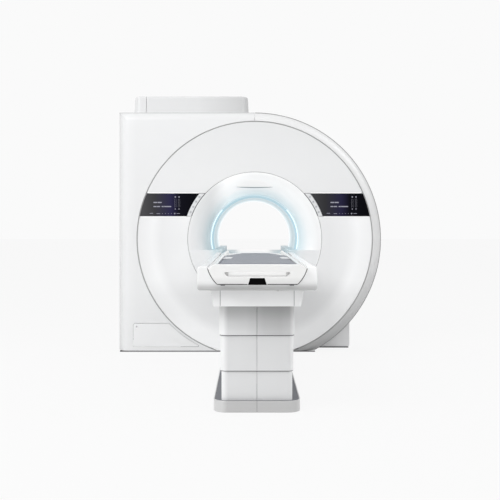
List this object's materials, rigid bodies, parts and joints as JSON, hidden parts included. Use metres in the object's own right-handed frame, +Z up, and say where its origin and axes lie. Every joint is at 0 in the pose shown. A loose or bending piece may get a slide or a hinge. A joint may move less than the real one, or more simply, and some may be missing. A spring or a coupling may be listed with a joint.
{
  "type": "magnetic resonance imaging scanner",
  "caption": "Wide-bore magnetic resonance imaging scanner: a ring magnet in moulded covers with a lit bore, displays, and a height-adjustable patient table with a sliding cradle.",
  "frame": {"origin": "floor point under the isocentre, midway between the magnet's anchor bolts", "axes": "+X to the right as seen from the table, +Y along the bore away from the table, +Z up"},
  "size_m": [2.341, 4.299, 2.3322],
  "materials": {
    "cover_white": "smooth gloss coat",
    "bezel_silver": "satin metallic paint",
    "flare_white": "smooth gloss coat",
    "bore_white": "satin moulding",
    "light_ring": "lit diffuser",
    "display_black": "polished black front",
    "strip_grey": "fine matt texture",
    "button_grey": "fine matt texture",
    "vessel_paint": "satin paint",
    "vessel_steel": "brushed",
    "shield_aluminium": "bare",
    "coil_copper": "resin-bound winding",
    "coil_resin": "cast resin",
    "copper_foil": "etched foil",
    "rod_laminate": "fibre laminate",
    "foot_paint": "satin paint",
    "frame_aluminium": "bare",
    "pin_steel": "turned",
    "lock_chrome": "polished",
    "base_grey": "satin paint",
    "rim_silver": "brushed",
    "column_grey": "satin paint",
    "ram_steel": "ground and plated",
    "table_white": "smooth gloss coat",
    "cradle_white": "smooth gloss coat",
    "glide_grey": "low friction",
    "latch_black": "fine matt texture",
    "mattress_vinyl": "coated fabric",
    "belt_rubber": "ribbed",
    "pulley_aluminium": "turned",
    "motor_black": "satin paint"
  },
  "bodies": {
    "scanner": {"vacuum_vessel": "vessel_paint", "suspension_rods": "rod_laminate", "radiation_shield": "shield_aluminium", "helium_vessel": "vessel_steel", "coil_former": "shield_aluminium", "superconducting_coils": "coil_copper", "gradient_coil": "coil_resin", "rf_body_coil": "copper_foil", "bore_liner": "bore_white", "magnet_feet": "foot_paint", "service_neck": "vessel_steel", "cold_head": "vessel_steel", "front_cover_frame": "frame_aluminium", "rear_cover_frame": "frame_aluminium", "front_upper_panel": "cover_white", "front_lower_panel": "cover_white", "left_display": "display_black", "right_display": "display_black", "left_control_strip": "strip_grey", "right_control_strip": "strip_grey", "front_flare": "flare_white", "bore_light_ring": "light_ring", "rear_flare": "flare_white", "bore_bridge": "bore_white", "left_front_cover": "cover_white", "bezel_ring": "bezel_silver", "door_hinge_pins": "pin_steel", "left_flank_cover": "cover_white", "right_flank_cover": "cover_white", "rear_cover": "cover_white", "turret_cover": "cover_white", "turret_side_cover": "cover_white", "base_rim": "rim_silver", "base_plate": "base_grey", "column_lower_cover": "column_grey", "lift_ram_barrel": "pin_steel"},
    "table": {"table_frame": "table_white", "under_box": "table_white", "column_upper_cover": "column_grey", "lift_ram_rod": "ram_steel", "drive_motor": "motor_black", "drive_belt": "belt_rubber"},
    "column_stage": {"column_middle_cover": "column_grey", "lift_ram_stage": "ram_steel"},
    "cradle": {"cradle": "cradle_white", "mattress": "mattress_vinyl", "glide_strips": "glide_grey"},
    "release_latch": {"release_latch": "latch_black"},
    "drive_pulley": {"drive_pulley": "pulley_aluminium"},
    "idler_pulley": {"idler_pulley": "pulley_aluminium"},
    "service_door": {"service_door": "cover_white"},
    "door_lock": {"door_lock": "lock_chrome"},
    "left_button_1": {"left_button_1": "button_grey"},
    "left_button_2": {"left_button_2": "button_grey"},
    "left_button_3": {"left_button_3": "button_grey"},
    "left_button_4": {"left_button_4": "button_grey"},
    "right_button_1": {"right_button_1": "button_grey"},
    "right_button_2": {"right_button_2": "button_grey"},
    "right_button_3": {"right_button_3": "button_grey"},
    "right_button_4": {"right_button_4": "button_grey"}
  },
  "joints": [
    {"name": "table_lift", "type": "slide", "parent": "scanner", "child": "table", "axis": [0, 0, 1], "range_m": [-0.33, 0]},
    {"name": "column_stage_slide", "type": "slide", "parent": "scanner", "child": "column_stage", "axis": [0, 0, 1], "range_m": [-0.165, 0]},
    {"name": "cradle_slide", "type": "slide", "parent": "table", "child": "cradle", "axis": [0, 1, 0], "range_m": [0, 1.7]},
    {"name": "release_latch_press", "type": "slide", "parent": "cradle", "child": "release_latch", "axis": [0, 1, 0], "range_m": [0, 0.006], "stiffness_N_per_m": 600},
    {"name": "drive_pulley_spin", "type": "hinge", "parent": "table", "child": "drive_pulley", "pos_m": [0.12, -3.2, 0.712], "axis": [-1, 0, 0], "range_deg": [0, 4150]},
    {"name": "idler_pulley_spin", "type": "hinge", "parent": "table", "child": "idler_pulley", "pos_m": [0.12, -1.5, 0.712], "axis": [-1, 0, 0], "range_deg": [0, 4150]},
    {"name": "service_door_hinge", "type": "hinge", "parent": "scanner", "child": "service_door", "pos_m": [-0.8, -0.846, 0.05], "axis": [1, 0, 0], "range_deg": [0, 90]},
    {"name": "door_lock_turn", "type": "hinge", "parent": "service_door", "child": "door_lock", "pos_m": [-1.0475, -0.846, 0.223], "axis": [0, 1, 0], "range_deg": [0, 90]},
    {"name": "left_button_1_press", "type": "slide", "parent": "scanner", "child": "left_button_1", "axis": [0, 1, 0], "range_m": [0, 0.0015], "stiffness_N_per_m": 600},
    {"name": "left_button_2_press", "type": "slide", "parent": "scanner", "child": "left_button_2", "axis": [0, 1, 0], "range_m": [0, 0.0015], "stiffness_N_per_m": 600},
    {"name": "left_button_3_press", "type": "slide", "parent": "scanner", "child": "left_button_3", "axis": [0, 1, 0], "range_m": [0, 0.0015], "stiffness_N_per_m": 600},
    {"name": "left_button_4_press", "type": "slide", "parent": "scanner", "child": "left_button_4", "axis": [0, 1, 0], "range_m": [0, 0.0015], "stiffness_N_per_m": 600},
    {"name": "right_button_1_press", "type": "slide", "parent": "scanner", "child": "right_button_1", "axis": [0, 1, 0], "range_m": [0, 0.0015], "stiffness_N_per_m": 600},
    {"name": "right_button_2_press", "type": "slide", "parent": "scanner", "child": "right_button_2", "axis": [0, 1, 0], "range_m": [0, 0.0015], "stiffness_N_per_m": 600},
    {"name": "right_button_3_press", "type": "slide", "parent": "scanner", "child": "right_button_3", "axis": [0, 1, 0], "range_m": [0, 0.0015], "stiffness_N_per_m": 600},
    {"name": "right_button_4_press", "type": "slide", "parent": "scanner", "child": "right_button_4", "axis": [0, 1, 0], "range_m": [0, 0.0015], "stiffness_N_per_m": 600}
  ],
  "couplings": [
    {"joint": "column_stage_slide", "follows": "table_lift", "ratio": 0.5},
    {"joint": "drive_pulley_spin", "follows": "cradle_slide", "rad_per_m": 42.017},
    {"joint": "idler_pulley_spin", "follows": "cradle_slide", "rad_per_m": 42.017}
  ]
}
